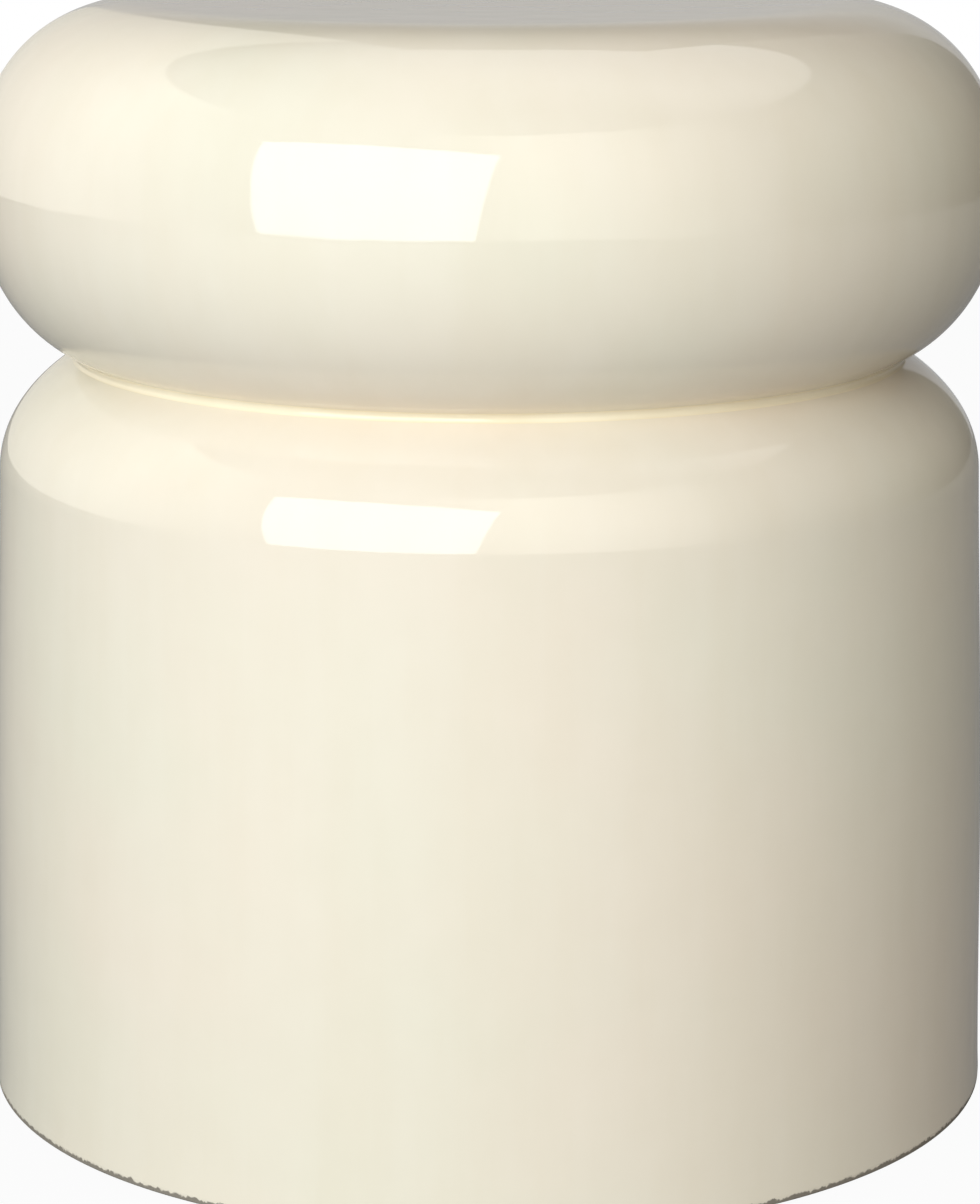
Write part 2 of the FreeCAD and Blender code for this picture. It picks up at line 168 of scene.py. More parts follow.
def turned(name, runs, warp=None, turns=TURNS):
    """A closed round piece. Each run is (points, finish number); they join into one loop."""
    outline = []
    finishes = []
    for points, finish in runs:
        for point in points:
            if outline and math.dist(outline[-1], point) < 1e-7:
                continue
            outline.append(point)
            finishes.append(finish)
    if math.dist(outline[0], outline[-1]) < 1e-7:
        outline.pop()
        finishes.pop(0)
    vertices = []
    rings = []
    for radius, height in outline:
        count = 1 if radius < 1e-6 else turns
        ring = []
        for step in range(count):
            angle = 2 * math.pi * step / turns
            spot = Vector((radius * math.cos(angle), radius * math.sin(angle), height))
            ring.append(len(vertices))
            vertices.append(warp(spot) if warp else spot)
        rings.append(ring)
    faces = []
    face_finishes = []
    for index, ring in enumerate(rings):
        following = rings[(index + 1) % len(rings)]
        if len(ring) == 1 and len(following) == 1:
            continue
        for step in range(turns):
            near = (ring[step % len(ring)], ring[(step + 1) % turns % len(ring)])
            far = (following[(step + 1) % turns % len(following)],
                   following[step % len(following)])
            corners = list(dict.fromkeys(near + far))
            faces.append(corners)
            face_finishes.append(finishes[(index + 1) % len(finishes)])
    mesh = bpy.data.meshes.new(name)
    mesh.from_pydata(vertices, [], faces)
    mesh.polygons.foreach_set("material_index", face_finishes)
    mesh.update()
    mesh.shade_smooth()
    mesh.set_sharp_from_angle(angle=SHARP_FROM)
    piece = bpy.data.objects.new(name, mesh)
    bpy.context.scene.collection.objects.link(piece)
    print(f"{name}: {len(vertices)} vertices, {len(faces)} faces")
    return piece


# %% [markdown]
# ## The unevenness that the kiln leaves
# Clay softens in the kiln. The drum of this stool leans by less than a millimetre, the
# seat sits a little to one side, and no ring is a perfect circle. A Displace modifier
# could do this. A function that moves each point keeps both castings in step at the
# joint. Its noise changes slowly round the piece and only ever pulls the surface
# inwards, so that nothing grows past the CAD sizes.

# %% A helper for the kiln's unevenness
DRUM_LEAN = 0.7 * MM
SEAT_SHIFT = 0.8 * MM
SURFACE_WAVE = 0.22 * MM
WAVES_PER_METRE = 11
WAVE_STRETCH = 0.6
SMALLEST_RADIUS = 0.05


def kiln_warp(spot):
    """Moves one point of a casting as the firing did."""
    pattern = Vector((spot.x, spot.y, spot.z * WAVE_STRETCH)) * WAVES_PER_METRE
    inwards = SURFACE_WAVE * (0.5 + 0.5 * noise.noise(pattern))
    radius = math.hypot(spot.x, spot.y)
    shrink = 1 - inwards / max(radius, SMALLEST_RADIUS)
    if spot.z < NECK_TOP:
        lean = DRUM_LEAN * spot.z / NECK_TOP
    else:
        rise = (spot.z - NECK_TOP) / (SEAT_TOP - NECK_TOP)
        lean = SEAT_SHIFT * (1 - rise * rise)
    return Vector((spot.x * shrink + lean, spot.y * shrink, spot.z))


moved = kiln_warp(Vector((LIP_RADIUS, 0, NECK_TOP / 2))).x - LIP_RADIUS
print(f"half-way up the drum, the right side moves by {moved / MM:.2f} mm")

# %% [markdown]
# ## The seat casting
# The seat looks like a round cushion: the top is nearly flat, the edge swells out
# evenly, and the underside tucks in to a tight crease. A plain circle arc bends too
# evenly for this. A superellipse starts flatter and bends more in the middle, which is
# what clay pressed into a plaster mould does, and it gives the glaze its long, soft
# highlights.

# %% Measure the seat's curves
BELLY_LEVEL = 377.03 * MM
FLAT_RADIUS = 138.2 * MM
SEAT_ROUNDNESS = 2.209
TUCK_REACH = 67.2 * MM
TUCK_DROP = 73.4 * MM
SEAT_WALL = 9.0 * MM
TOP_WALL = 11.0 * MM
LAND_WIDTH = 19.0 * MM
SPIGOT_RADIUS = CREASE_RADIUS - LAND_WIDTH
SPIGOT_WALL = 8.0 * MM
CROWN_STEPS = 56
TUCK_STEPS = 64

crown = arc_of_superellipse((FLAT_RADIUS, BELLY_LEVEL),
                            (SEAT_RADIUS - FLAT_RADIUS, SEAT_TOP - BELLY_LEVEL),
                            SEAT_ROUNDNESS, 0, 90, CROWN_STEPS)
tuck = arc_of_superellipse((SEAT_RADIUS - TUCK_REACH, BELLY_LEVEL), (TUCK_REACH, TUCK_DROP),
                           SEAT_ROUNDNESS, -90, 0, TUCK_STEPS)
tuck = [point for point in tuck if point[0] > CREASE_RADIUS and point[1] > LAND_LEVEL]
print(f"the tuck starts at radius {tuck[0][0] * 1000:.1f} mm")

# %% Build the seat
GLAZED, BARE = 0, 1
INSIDE_CROWN = 52 * MM
INSIDE_TUCK = 40 * MM
SPIGOT_ROOT = 5 * MM
SPIGOT_EDGE = 1.5 * MM
FLAT_STEPS = 12
seat_inside = softened([
    (0, SEAT_TOP - TOP_WALL, 0),
    (SEAT_RADIUS - SEAT_WALL, SEAT_TOP - TOP_WALL, INSIDE_CROWN),
    (SEAT_RADIUS - SEAT_WALL, LAND_LEVEL + SEAT_WALL, INSIDE_TUCK),
    (SPIGOT_RADIUS - SPIGOT_WALL, LAND_LEVEL + SEAT_WALL, SPIGOT_ROOT),
    (SPIGOT_RADIUS - SPIGOT_WALL, SPIGOT_FOOT, SPIGOT_EDGE),
    (SPIGOT_RADIUS, SPIGOT_FOOT, SPIGOT_EDGE),
    (SPIGOT_RADIUS, LAND_LEVEL, 0),
    (CREASE_RADIUS, LAND_LEVEL, 0),
])
flat_top = [(FLAT_RADIUS * (1 - step / FLAT_STEPS), SEAT_TOP) for step in range(FLAT_STEPS + 1)]
seat = turned("seat_casting", [(tuck + crown + flat_top, GLAZED), (seat_inside, BARE)],
              kiln_warp)
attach(seat, "root")
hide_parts("seat_shell")

# %% [markdown]
# ## The drum casting
# The drum widens slightly towards the floor, so that it slips out of its mould, and its
# wall swells by a millimetre half-way up. Its shoulder domes over to the neck that
# carries the seat, and its foot turns in to a flat ring with a softened edge. A cylinder
# with a bevel would look stamped: the shoulder's bend has to start slowly, so it is a
# superellipse that takes over the wall's slant and lets it fade.

# %% Measure the drum's curves
WALL_TOP_RADIUS = 201.54 * MM
WALL_TOP = 261.42 * MM
SHOULDER_REACH = 81.2 * MM
SHOULDER_RISE = 57.8 * MM
SHOULDER_ROUNDNESS = 1.956
SHOULDER_STEPS = 72
SHOULDER_END = 75
FOOT_BORE = 180.5 * MM
WALL_FOOT = 11.0 * MM
WALL_FOOT_RADIUS = LIP_RADIUS - 0.35 * MM
WALL_SWELL = 1.0 * MM
wall_slope = (WALL_FOOT_RADIUS - WALL_TOP_RADIUS) / (WALL_TOP - WALL_FOOT)
DRAFT_FADE = 24 * MM

shoulder = []
for radius, height in arc_of_superellipse(
        (WALL_TOP_RADIUS - SHOULDER_REACH, WALL_TOP), (SHOULDER_REACH, SHOULDER_RISE),
        SHOULDER_ROUNDNESS, 0, SHOULDER_END, SHOULDER_STEPS):
    climbed = min((height - WALL_TOP) / DRAFT_FADE, 1)
    draft = wall_slope * DRAFT_FADE * climbed * (1 - climbed) ** 2
    if radius > CREASE_RADIUS:
        shoulder.append((radius - draft, height))
print(f"the wall leans in by {math.degrees(math.atan(wall_slope)):.2f} degrees")

# %% Draw the drum's outside
WALL_STEPS = 40
FOOT_CORNER = 0.8 * MM
FOOT_ROLL = 1.2 * MM
FOOT_ROLL_LEVEL = 3 * MM
foot_edge = softened([
    (FOOT_BORE, DRUM_FOOT, 0),
    (LIP_RADIUS - 0.15 * MM, DRUM_FOOT, FOOT_CORNER),
    (LIP_RADIUS - 0.05 * MM, DRUM_FOOT + FOOT_ROLL_LEVEL, FOOT_ROLL),
    (WALL_FOOT_RADIUS, WALL_FOOT, 0),
])
drum_wall = []
for step in range(1, WALL_STEPS):
    height = WALL_FOOT + (WALL_TOP - WALL_FOOT) * step / WALL_STEPS
    swell = WALL_SWELL * math.sin(math.pi * step / WALL_STEPS) ** 2
    drum_wall.append((WALL_FOOT_RADIUS - wall_slope * (height - WALL_FOOT) + swell, height))
widest = max(radius for radius, height in drum_wall)
print(f"the wall is {widest * 2000:.1f} mm across at its widest")

# %% Build the drum
SPIGOT_PLAY = 0.5 * MM
NECK_THICKNESS = 10 * MM
NECK_BORE = SPIGOT_RADIUS + SPIGOT_PLAY
NECK_ROOT_RADIUS = 168.3 * MM
INSIDE_SHOULDER_TOP = (186.3 * MM, 282.6 * MM)
INSIDE_SHOULDER_FOOT = (192.3 * MM, 266.8 * MM)
INSIDE_WALL_FOOT = (198.9 * MM, 25 * MM)
FOOT_SLOPE_RADIUS = 186.9 * MM
FOOT_UPPER_FACE = 13 * MM
INSIDE_SHOULDER_BEND = 14 * MM
neck_under = NECK_TOP - NECK_THICKNESS
drum_inside = softened([
    (CREASE_RADIUS, NECK_TOP, 0),
    (NECK_BORE, NECK_TOP, 0.8 * MM),
    (NECK_BORE, neck_under, 1.5 * MM),
    (NECK_ROOT_RADIUS, neck_under, 8 * MM),
    (*INSIDE_SHOULDER_TOP, INSIDE_SHOULDER_BEND),
    (*INSIDE_SHOULDER_FOOT, INSIDE_SHOULDER_BEND),
    (*INSIDE_WALL_FOOT, 10 * MM),
    (FOOT_SLOPE_RADIUS, FOOT_UPPER_FACE, 5 * MM),
    (FOOT_BORE, FOOT_UPPER_FACE, 2 * MM),
    (FOOT_BORE, DRUM_FOOT, 0),
])
drum = turned("drum_casting",
              [(foot_edge + drum_wall + shoulder, GLAZED), (drum_inside, BARE)], kiln_warp)
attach(drum, "root")
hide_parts("drum_shell")

# %% [markdown]
# ## The crease
# Where the castings meet, slip was squeezed out and wiped back, and the glaze pooled
# over it. So the crease has no sharp bottom: it is a narrow hollow fillet. A Bevel
# modifier can't round the corner between two objects. The slip is a ring of its own,
# so its edge is drawn as an arc that touches both castings. The arc's middle is found
# by small steps: it moves until it is one arc's radius away from the seat and from the
# drum. Its ends bite a little into the clay, so that no gap shows as a dark line.

# %% Find where the pool of glaze touches both castings
POOL = 2.4 * MM
POOL_BITE = 0.04 * MM
POOL_TRIES = 120


def nearest_on(outline, spot):
    """The place on an outline that is nearest to a spot."""
    places = []
    for first, second in zip(outline, outline[1:]):
        start, along = Vector(first), Vector(second) - Vector(first)
        share = min(max((spot - start).dot(along) / along.length_squared, 0), 1)
        places.append(start + along * share)
    return min(places, key=lambda place: (place - spot).length)


pool_centre = Vector((CREASE_RADIUS + 2 * POOL, (NECK_TOP + LAND_LEVEL) / 2))
for attempt in range(POOL_TRIES):
    for outline in (tuck, shoulder):
        away = pool_centre - nearest_on(outline, pool_centre)
        pool_centre += away.normalized() * (POOL - POOL_BITE - away.length) / 2
to_seat = nearest_on(tuck, pool_centre) - pool_centre
to_drum = nearest_on(shoulder, pool_centre) - pool_centre
pool_start = math.degrees(math.atan2(to_seat.y, to_seat.x))
pool_end = math.degrees(math.atan2(to_drum.y, to_drum.x)) % 360
print(f"the pool turns from {pool_start:.0f} to {pool_end:.0f} degrees")

# %% Build the slip ring with its pooled edge
CIRCLE = 2.0
POOL_STEPS = 24
SLIP_SETBACK = 0.2 * MM
pool_edge = arc_of_superellipse(pool_centre, (POOL, POOL), CIRCLE, pool_start, pool_end,
                                POOL_STEPS)
seam_outline = [(NECK_BORE, NECK_TOP), (CREASE_RADIUS - SLIP_SETBACK, NECK_TOP)]
seam_outline += list(reversed(pool_edge))
seam_outline += [(CREASE_RADIUS - SLIP_SETBACK, LAND_LEVEL), (NECK_BORE, LAND_LEVEL)]
seam = turned("waist_slip", [(seam_outline, GLAZED)], kiln_warp)
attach(seam, "root")
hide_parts("waist_seam")

# %% [markdown]
# ## The clay coil inside
# Before the seat is glazed to the drum, a maker reaches up inside and presses a coil of
# clay into the corner round the spigot. It is never seen from outside, but it shows
# from below. Thumbs press it flat in steps, so its face is scalloped.

# %% Build the thumb-pressed coil
COIL_SIZE = coil_high[2] - coil_low[2]
COIL_CORNER = (NECK_BORE, coil_high[2])
COIL_ROUNDNESS = 1.5
COIL_STEPS = 10
COIL_TURNS = 528
THUMB_MARKS = 44
THUMB_DEPTH = 1.1 * MM
THUMB_SLANT = 0.7
THUMB_UNEVENNESS = 0.4
UNEVEN_PER_METRE = 30


def thumbed(spot):
    """Presses thumb marks into the coil's slanted face."""
    angle = math.atan2(spot.y, spot.x)
    radius = math.hypot(spot.x, spot.y)
    out = radius - COIL_CORNER[0]
    down = COIL_CORNER[1] - spot.z
    face = max(0.0, min(out, down) / COIL_SIZE * 3)
    uneven = THUMB_UNEVENNESS * noise.noise(Vector((spot.x, spot.y, 0)) * UNEVEN_PER_METRE)
    press = THUMB_DEPTH * (0.5 + 0.5 * math.cos(angle * THUMB_MARKS) + uneven) * face
    radius -= press * THUMB_SLANT
    return Vector((radius * math.cos(angle), radius * math.sin(angle),
                   spot.z + press * THUMB_SLANT))


coil_face = arc_of_superellipse(COIL_CORNER, (COIL_SIZE, -COIL_SIZE), COIL_ROUNDNESS,
                                90, 0, COIL_STEPS)
coil = turned("waist_coil_pressed", [(coil_face + [COIL_CORNER], GLAZED)], thumbed,
              COIL_TURNS)
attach(coil, "root")
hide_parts("waist_coil")

# %% [markdown]
# ## The foot pads
# Small stick-on rubber pads keep the bare clay off a floor. Each is a low disc with a
# rounded lower edge. A cylinder with a Bevel modifier would do as well. Here the same
# turning helper makes it, and sets it down where the CAD pad is.

# %% Build the pads
PAD_COUNT = 6
PAD_TURNS = 48
PAD_SOFTNESS = 0.7 * MM
PAD_UPPER_EDGE = 0.2 * MM
pads = []
for number in range(1, PAD_COUNT + 1):
    low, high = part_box(f"foot_pad_{number}")
    radius = (high[0] - low[0]) / 2
    centre = Vector(((low[0] + high[0]) / 2, (low[1] + high[1]) / 2, 0))
    pad_outline = softened([
        (0, low[2], 0),
        (radius, low[2], PAD_SOFTNESS),
        (radius, high[2], PAD_UPPER_EDGE),
        (0, high[2], 0),
    ])
    pad = turned(f"rubber_pad_{number}", [(pad_outline, GLAZED)],
                 lambda spot, centre=centre: spot + centre, PAD_TURNS)
    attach(pad, "root")
    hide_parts(f"foot_pad_{number}")
    pads.append(pad)

# %% [markdown]
# ## Finishes
# Every finish is made from noise in the object's own coordinates, in metres, so that it
# stays where it is when the view changes, and no image is needed.

# %% Helpers for the finishes
def new_finish(name):
    """An empty material with its nodes, its links, its shader and the object's coordinates."""
    finish = bpy.data.materials.new(name)
    finish.use_nodes = True
    nodes = finish.node_tree.nodes
    shader = nodes["Principled BSDF"]
    place = nodes.new("ShaderNodeTexCoord").outputs["Object"]
    return finish, nodes, finish.node_tree.links, shader, place


def noise_at(nodes, links, place, scale, detail=2.0, roughness=0.5):
    """A noise pattern in the object's coordinates."""
    pattern = nodes.new("ShaderNodeTexNoise")
    pattern.inputs["Scale"].default_value = scale
    pattern.inputs["Detail"].default_value = detail
    pattern.inputs["Roughness"].default_value = roughness
    links.new(place, pattern.inputs["Vector"])
    return pattern.outputs["Fac"]


def ramp(nodes, links, source, stops):
    """A colour ramp through stops given as (position, colour)."""
    node = nodes.new("ShaderNodeValToRGB")
    node.color_ramp.elements[0].position = stops[0][0]
    node.color_ramp.elements[0].color = (*stops[0][1], 1)
    node.color_ramp.elements[1].position = stops[-1][0]
    node.color_ramp.elements[1].color = (*stops[-1][1], 1)
    for position, colour in stops[1:-1]:
        node.color_ramp.elements.new(position).color = (*colour, 1)
    links.new(source, node.inputs["Fac"])
    return node.outputs["Color"]


def spread(nodes, links, source, low, high, new_low, new_high):
    """Maps a range of values to another."""
    node = nodes.new("ShaderNodeMapRange")
    for socket, value in zip(("From Min", "From Max", "To Min", "To Max"),
                             (low, high, new_low, new_high)):
        node.inputs[socket].default_value = value
    links.new(source, node.inputs["Value"])
    return node.outputs["Result"]


def blended(nodes, links, factor, first, second, way="MIX"):
    """Mixes two colours by a factor, each given as a socket or a plain colour."""
    node = nodes.new("ShaderNodeMix")
    node.data_type = "RGBA"
    node.blend_type = way
    for socket, value in ((node.inputs["Factor"], factor), (node.inputs["A"], first),
                          (node.inputs["B"], second)):
        if isinstance(value, bpy.types.NodeSocket):
            links.new(value, socket)
        elif isinstance(value, tuple):
            socket.default_value = (*value, 1)
        else:
            socket.default_value = value
    return node.outputs["Result"]


def bumped(nodes, links, height, distance, strength=1.0):
    """Turns a pattern into surface relief."""
    node = nodes.new("ShaderNodeBump")
    node.inputs["Distance"].default_value = distance
    node.inputs["Strength"].default_value = strength
    links.new(height, node.inputs["Height"])
    return node.outputs["Normal"]


print("finish helpers: new_finish, noise_at, ramp, spread, blended, bumped")


# %% [markdown]
# ### The cream glaze
# The glaze is a glassy coat over a pale clay. Four things make it read as fired glaze
# and not as plastic: the cream drifts a little between warmer and greener, because the
# coat isn't equally thick; it has faint upright runs, where it flowed down before it
# set; the surface has a long, faint orange peel; and the highlights are sharp, because
# glass is smooth. A photograph wrapped round the piece would fix all of these in one
# place. Noise in several sizes gives each one its own scale. The runs are ordinary
# noise, pulled long by a Mapping node that shrinks the height it sees.
# Near the floor the glaze was wiped off, so the clay shows there as a ragged line: the
# height plus a fine noise decides where it ends.

# %% Make the cream glaze
CREAM = (0.800, 0.720, 0.592)
WARM_CREAM = (0.812, 0.717, 0.592)
GREEN_CREAM = (0.788, 0.724, 0.592)
CLAY_LINE = (0.235, 0.205, 0.165)
HAZE_TINT = (0.985, 0.985, 0.98)
RUN_TINT = (0.988, 0.982, 0.97)
RUN_STRETCH = 0.1
DRIFT_SCALE = 7.0
HAZE_SCALE = 45.0
RUN_SCALE = 42.0
GLOSS_SCALE = 25.0
GLOSS_RANGE = (0.03, 0.06)
PEEL_SCALE = 38.0
PEEL_DEPTH = 0.12 * MM
CLAY_LINE_TOP = 4.4 * MM
CLAY_LINE_SOFTNESS = 0.5 * MM
CLAY_LINE_RAGGED = 5.0 * MM
RAGGED_SCALE = 260.0
CLAY_ROUGHNESS = 0.8
GLASS_IOR = 1.5


def cream_glaze(name, with_foot_line):
    finish, nodes, links, shader, place = new_finish(name)
    drift = noise_at(nodes, links, place, DRIFT_SCALE, 2.0)
    colour = ramp(nodes, links, drift, [(0.35, GREEN_CREAM), (0.5, CREAM), (0.65, WARM_CREAM)])
    haze = noise_at(nodes, links, place, HAZE_SCALE, 4.0)
    haze = spread(nodes, links, haze, 0.3, 0.7, 0.0, 1.0)
    colour = blended(nodes, links, haze, colour, HAZE_TINT, "MULTIPLY")
    runs = nodes.new("ShaderNodeMapping")
    runs.inputs["Scale"].default_value = (1, 1, RUN_STRETCH)
    links.new(place, runs.inputs["Vector"])
    streaks = noise_at(nodes, links, runs.outputs["Vector"], RUN_SCALE, 3.0, 0.6)
    streaks = ramp(nodes, links, streaks, [(0.35, RUN_TINT), (0.6, (1, 1, 1))])
    colour = blended(nodes, links, 1.0, colour, streaks, "MULTIPLY")
    gloss = noise_at(nodes, links, place, GLOSS_SCALE, 3.0)
    gloss = spread(nodes, links, gloss, 0.3, 0.7, *GLOSS_RANGE)
    peel = bumped(nodes, links, noise_at(nodes, links, place, PEEL_SCALE, 1.0), PEEL_DEPTH)
    if with_foot_line:
        height = nodes.new("ShaderNodeSeparateXYZ")
        links.new(place, height.inputs["Vector"])
        ragged = nodes.new("ShaderNodeMath")
        ragged.operation = "MULTIPLY_ADD"
        links.new(noise_at(nodes, links, place, RAGGED_SCALE, 5.0, 0.7), ragged.inputs[0])
        ragged.inputs[1].default_value = CLAY_LINE_RAGGED
        links.new(height.outputs["Z"], ragged.inputs[2])
        edge = DRUM_FOOT + CLAY_LINE_TOP
        bare = spread(nodes, links, ragged.outputs["Value"], edge,
                      edge + CLAY_LINE_SOFTNESS, 1.0, 0.0)
        colour = blended(nodes, links, bare, colour, CLAY_LINE)
        rough = nodes.new("ShaderNodeMath")
        rough.operation = "MAXIMUM"
        links.new(gloss, rough.inputs[0])
        links.new(spread(nodes, links, bare, 0.0, 1.0, 0.0, CLAY_ROUGHNESS), rough.inputs[1])
        gloss = rough.outputs["Value"]
    links.new(colour, shader.inputs["Base Color"])
    links.new(gloss, shader.inputs["Roughness"])
    links.new(peel, shader.inputs["Normal"])
    shader.inputs["IOR"].default_value = GLASS_IOR
    print(f"{name}: {len(nodes)} nodes")
    return finish


seat_glaze = cream_glaze("cream_glaze", with_foot_line=False)
drum_glaze = cream_glaze("cream_glaze_with_foot_line", with_foot_line=True)

# %% [markdown]
# ### Bare clay
# Where no glaze went, the stoneware is matt, sandy and warm grey-brown. The ground-up
# fired clay in it shows as darker grains. Noise alone has no separate grains, so a
# Voronoi pattern gives each cell one shade, and only the darkest cells become specks.

# %% Make the bare clay
PALE_CLAY = (0.54, 0.45, 0.35)
DARK_CLAY = (0.40, 0.32, 0.24)
SPECK_TINT = (0.55, 0.5, 0.45)
PATCH_SCALE = 18.0
GRAIN_SCALE = 900.0
SAND_SCALE = 700.0
SAND_DEPTH = 0.25 * MM


def bare_clay():
    finish, nodes, links, shader, place = new_finish("bare_clay")
    patches = noise_at(nodes, links, place, PATCH_SCALE, 4.0)
    colour = ramp(nodes, links, patches, [(0.3, DARK_CLAY), (0.7, PALE_CLAY)])
    grain = nodes.new("ShaderNodeTexVoronoi")
    grain.inputs["Scale"].default_value = GRAIN_SCALE
    links.new(place, grain.inputs["Vector"])
    speck = ramp(nodes, links, grain.outputs["Color"],
                 [(0.0, SPECK_TINT), (0.25, (1, 1, 1)), (1.0, (1, 1, 1))])
    colour = blended(nodes, links, 0.6, colour, speck, "MULTIPLY")
    links.new(colour, shader.inputs["Base Color"])
    links.new(spread(nodes, links, patches, 0.3, 0.7, 0.75, 0.92), shader.inputs["Roughness"])
    sand = noise_at(nodes, links, place, SAND_SCALE, 4.0, 0.7)
    links.new(bumped(nodes, links, sand, SAND_DEPTH, 0.6), shader.inputs["Normal"])
    print(f"bare_clay: {len(nodes)} nodes")
    return finish


clay = bare_clay()

# %% [markdown]
# ### The slip at the crease, and the rubber
# Glaze over the slip is thicker, so it looks more golden than the cream beside it. A
# second coat as a shell of its own would show the same, at the price of one more mesh.
# A warmer colour does it here, and it also holds painted shade: the warm, darker light
# that the crease throws back between the castings. The rubber is a matt grey with a fine grain.

# %% Make the pooled slip, with its painted crease shade, and the rubber
# The two slip colours are pooled glaze, warmed further by painted shade of the crease.
SLIP_GOLD_AND_CREASE_SHADE = (0.82, 0.71, 0.51)
SLIP_CREAM_AND_CREASE_SHADE = (0.85, 0.75, 0.56)
SLIP_SCALE = 24.0
RUBBER_DARK = (0.035, 0.035, 0.036)
RUBBER_DUSTY = (0.075, 0.073, 0.07)
DUST_SCALE = 120.0
RUBBER_GRAIN_SCALE = 2500.0
RUBBER_GRAIN_DEPTH = 0.04 * MM


def pooled_slip_and_crease_shade():
    finish, nodes, links, shader, place = new_finish("joint_slip")
    drift = noise_at(nodes, links, place, SLIP_SCALE, 3.0)
    # golden ramp: pooled glaze colour with painted warm crease shade in it
    colour = ramp(nodes, links, drift, [(0.35, SLIP_GOLD_AND_CREASE_SHADE), (0.65, SLIP_CREAM_AND_CREASE_SHADE)])
    links.new(colour, shader.inputs["Base Color"])
    links.new(spread(nodes, links, drift, 0.3, 0.7, 0.05, 0.09), shader.inputs["Roughness"])
    return finish


def pad_rubber():
    finish, nodes, links, shader, place = new_finish("pad_rubber")
    dust = noise_at(nodes, links, place, DUST_SCALE, 4.0)
    colour = ramp(nodes, links, dust, [(0.35, RUBBER_DARK), (0.7, RUBBER_DUSTY)])
    links.new(colour, shader.inputs["Base Color"])
    links.new(spread(nodes, links, dust, 0.3, 0.7, 0.6, 0.8), shader.inputs["Roughness"])
    grain = noise_at(nodes, links, place, RUBBER_GRAIN_SCALE, 2.0)
    links.new(bumped(nodes, links, grain, RUBBER_GRAIN_DEPTH, 0.5), shader.inputs["Normal"])
    return finish


# %% [markdown]
# ### Which finish goes where
# Each casting has two finishes, glaze outside and bare clay inside. They could be
# painted on face by face. The turning helper has already given every face the number of
# its finish, so the materials only have to be listed in that order.

# %% Put the finishes on the pieces
for piece, finishes in ((seat, (seat_glaze, clay)), (drum, (drum_glaze, clay)),
                        (seam, (pooled_slip_and_crease_shade(),)), (coil, (clay,))):
    for finish in finishes:
        piece.data.materials.append(finish)
rubber = pad_rubber()
for pad in pads:
    pad.data.materials.append(rubber)
print(f"{len(bpy.data.materials)} materials")

# %% [markdown]
# ## The studio
# Glaze is a mirror, so what stands round the stool matters as much as the lamps. The
# right side of this stool goes dark and its left side stays light, so the studio is
# uneven: bright paper in front, a window's glow at the left, next to nothing at the
# right, and a softbox at the front left. Separate cards would do this, but each one's
# edge would show as a line in the glaze. Here one round paper wall fades from bright to
# dark instead.
#
# The picture's ground has to be white, yet a white floor under strong lamps would throw
# light back at the stool. A Light Path node tells who is looking: the camera sees the
# floor as nearly white, with only a trace of its real shade, and lamplight meets plain
# grey paper.

# %% A helper for surfaces that show white
def shows_white(name, real, camera_share, mirror_share):
    """Matt paper that the camera, and to a lesser share mirrors and glass, see as white."""
    finish = bpy.data.materials.new(name)
    finish.use_nodes = True
    nodes = finish.node_tree.nodes
    links = finish.node_tree.links
    nodes.clear()
    path = nodes.new("ShaderNodeLightPath")

    def math_node(operation, first, second):
        node = nodes.new("ShaderNodeMath")
        node.operation = operation
        links.new(first, node.inputs[0])
        if isinstance(second, float):
            node.inputs[1].default_value = second
        else:
            links.new(second, node.inputs[1])
        return node.outputs["Value"]

    mirrors = math_node("MAXIMUM", path.outputs["Is Glossy Ray"],
                        path.outputs["Is Transmission Ray"])
    share = math_node("MAXIMUM", math_node("MULTIPLY", mirrors, mirror_share),
                      math_node("MULTIPLY", path.outputs["Is Camera Ray"], camera_share))
    glow = nodes.new("ShaderNodeEmission")
    glow.inputs["Color"].default_value = (1, 1, 1, 1)
    matt = nodes.new("ShaderNodeBsdfDiffuse")
    matt.inputs["Color"].default_value = (real, real, real, 1)
    mix = nodes.new("ShaderNodeMixShader")
    links.new(share, mix.inputs["Fac"])
    links.new(matt.outputs["BSDF"], mix.inputs[1])
    links.new(glow.outputs["Emission"], mix.inputs[2])
    out = nodes.new("ShaderNodeOutputMaterial")
    links.new(mix.outputs["Shader"], out.inputs["Surface"])
    print(f"{name}: {camera_share:.0%} white to the camera, {mirror_share:.0%} to mirrors")
    return finish


# %% Lay the floor
STUDIO_RADIUS = 3.6
STUDIO_HEIGHT = 4.14
STUDIO_STEPS = 96
FLOOR_SHADE = 0.22
FLOOR_TO_CAMERA = 0.96
FLOOR_TO_MIRRORS = 0.15


def round_sheet(name, levels, finish):
    """A studio surface: one ring given as (radius, height) is a disc, two are a wall."""
    vertices = []
    faces = []
    for radius, height in levels:
        for step in range(STUDIO_STEPS):
            angle = 2 * math.pi * step / STUDIO_STEPS
            vertices.append((radius * math.cos(angle), radius * math.sin(angle), height))
    if len(levels) == 1:
        faces.append(list(range(STUDIO_STEPS)))
    else:
        for step in range(STUDIO_STEPS):
            after = (step + 1) % STUDIO_STEPS
            faces.append((step, after, STUDIO_STEPS + after, STUDIO_STEPS + step))
    mesh = bpy.data.meshes.new(name)
    mesh.from_pydata(vertices, [], faces)
    mesh.materials.append(finish)
    sheet = bpy.data.objects.new(name, mesh)
    bpy.context.scene.collection.objects.link(sheet)
    sheet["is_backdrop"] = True
    print(f"{name}: {len(faces)} faces")
    return sheet


round_sheet("studio_floor", [(STUDIO_RADIUS, 0)],
            shows_white("studio_floor", FLOOR_SHADE, FLOOR_TO_CAMERA, FLOOR_TO_MIRRORS))

# %% [markdown]
# ### The paper wall
# The long soft light in the glaze comes from something large and pale in front of the
# stool and at its left. Lamps could stand there, but a wall that glows is smoother. Its
# glow is one colour ramp that runs round the stool. The stops are angles from the
# front, towards the right, and how bright the paper is there.

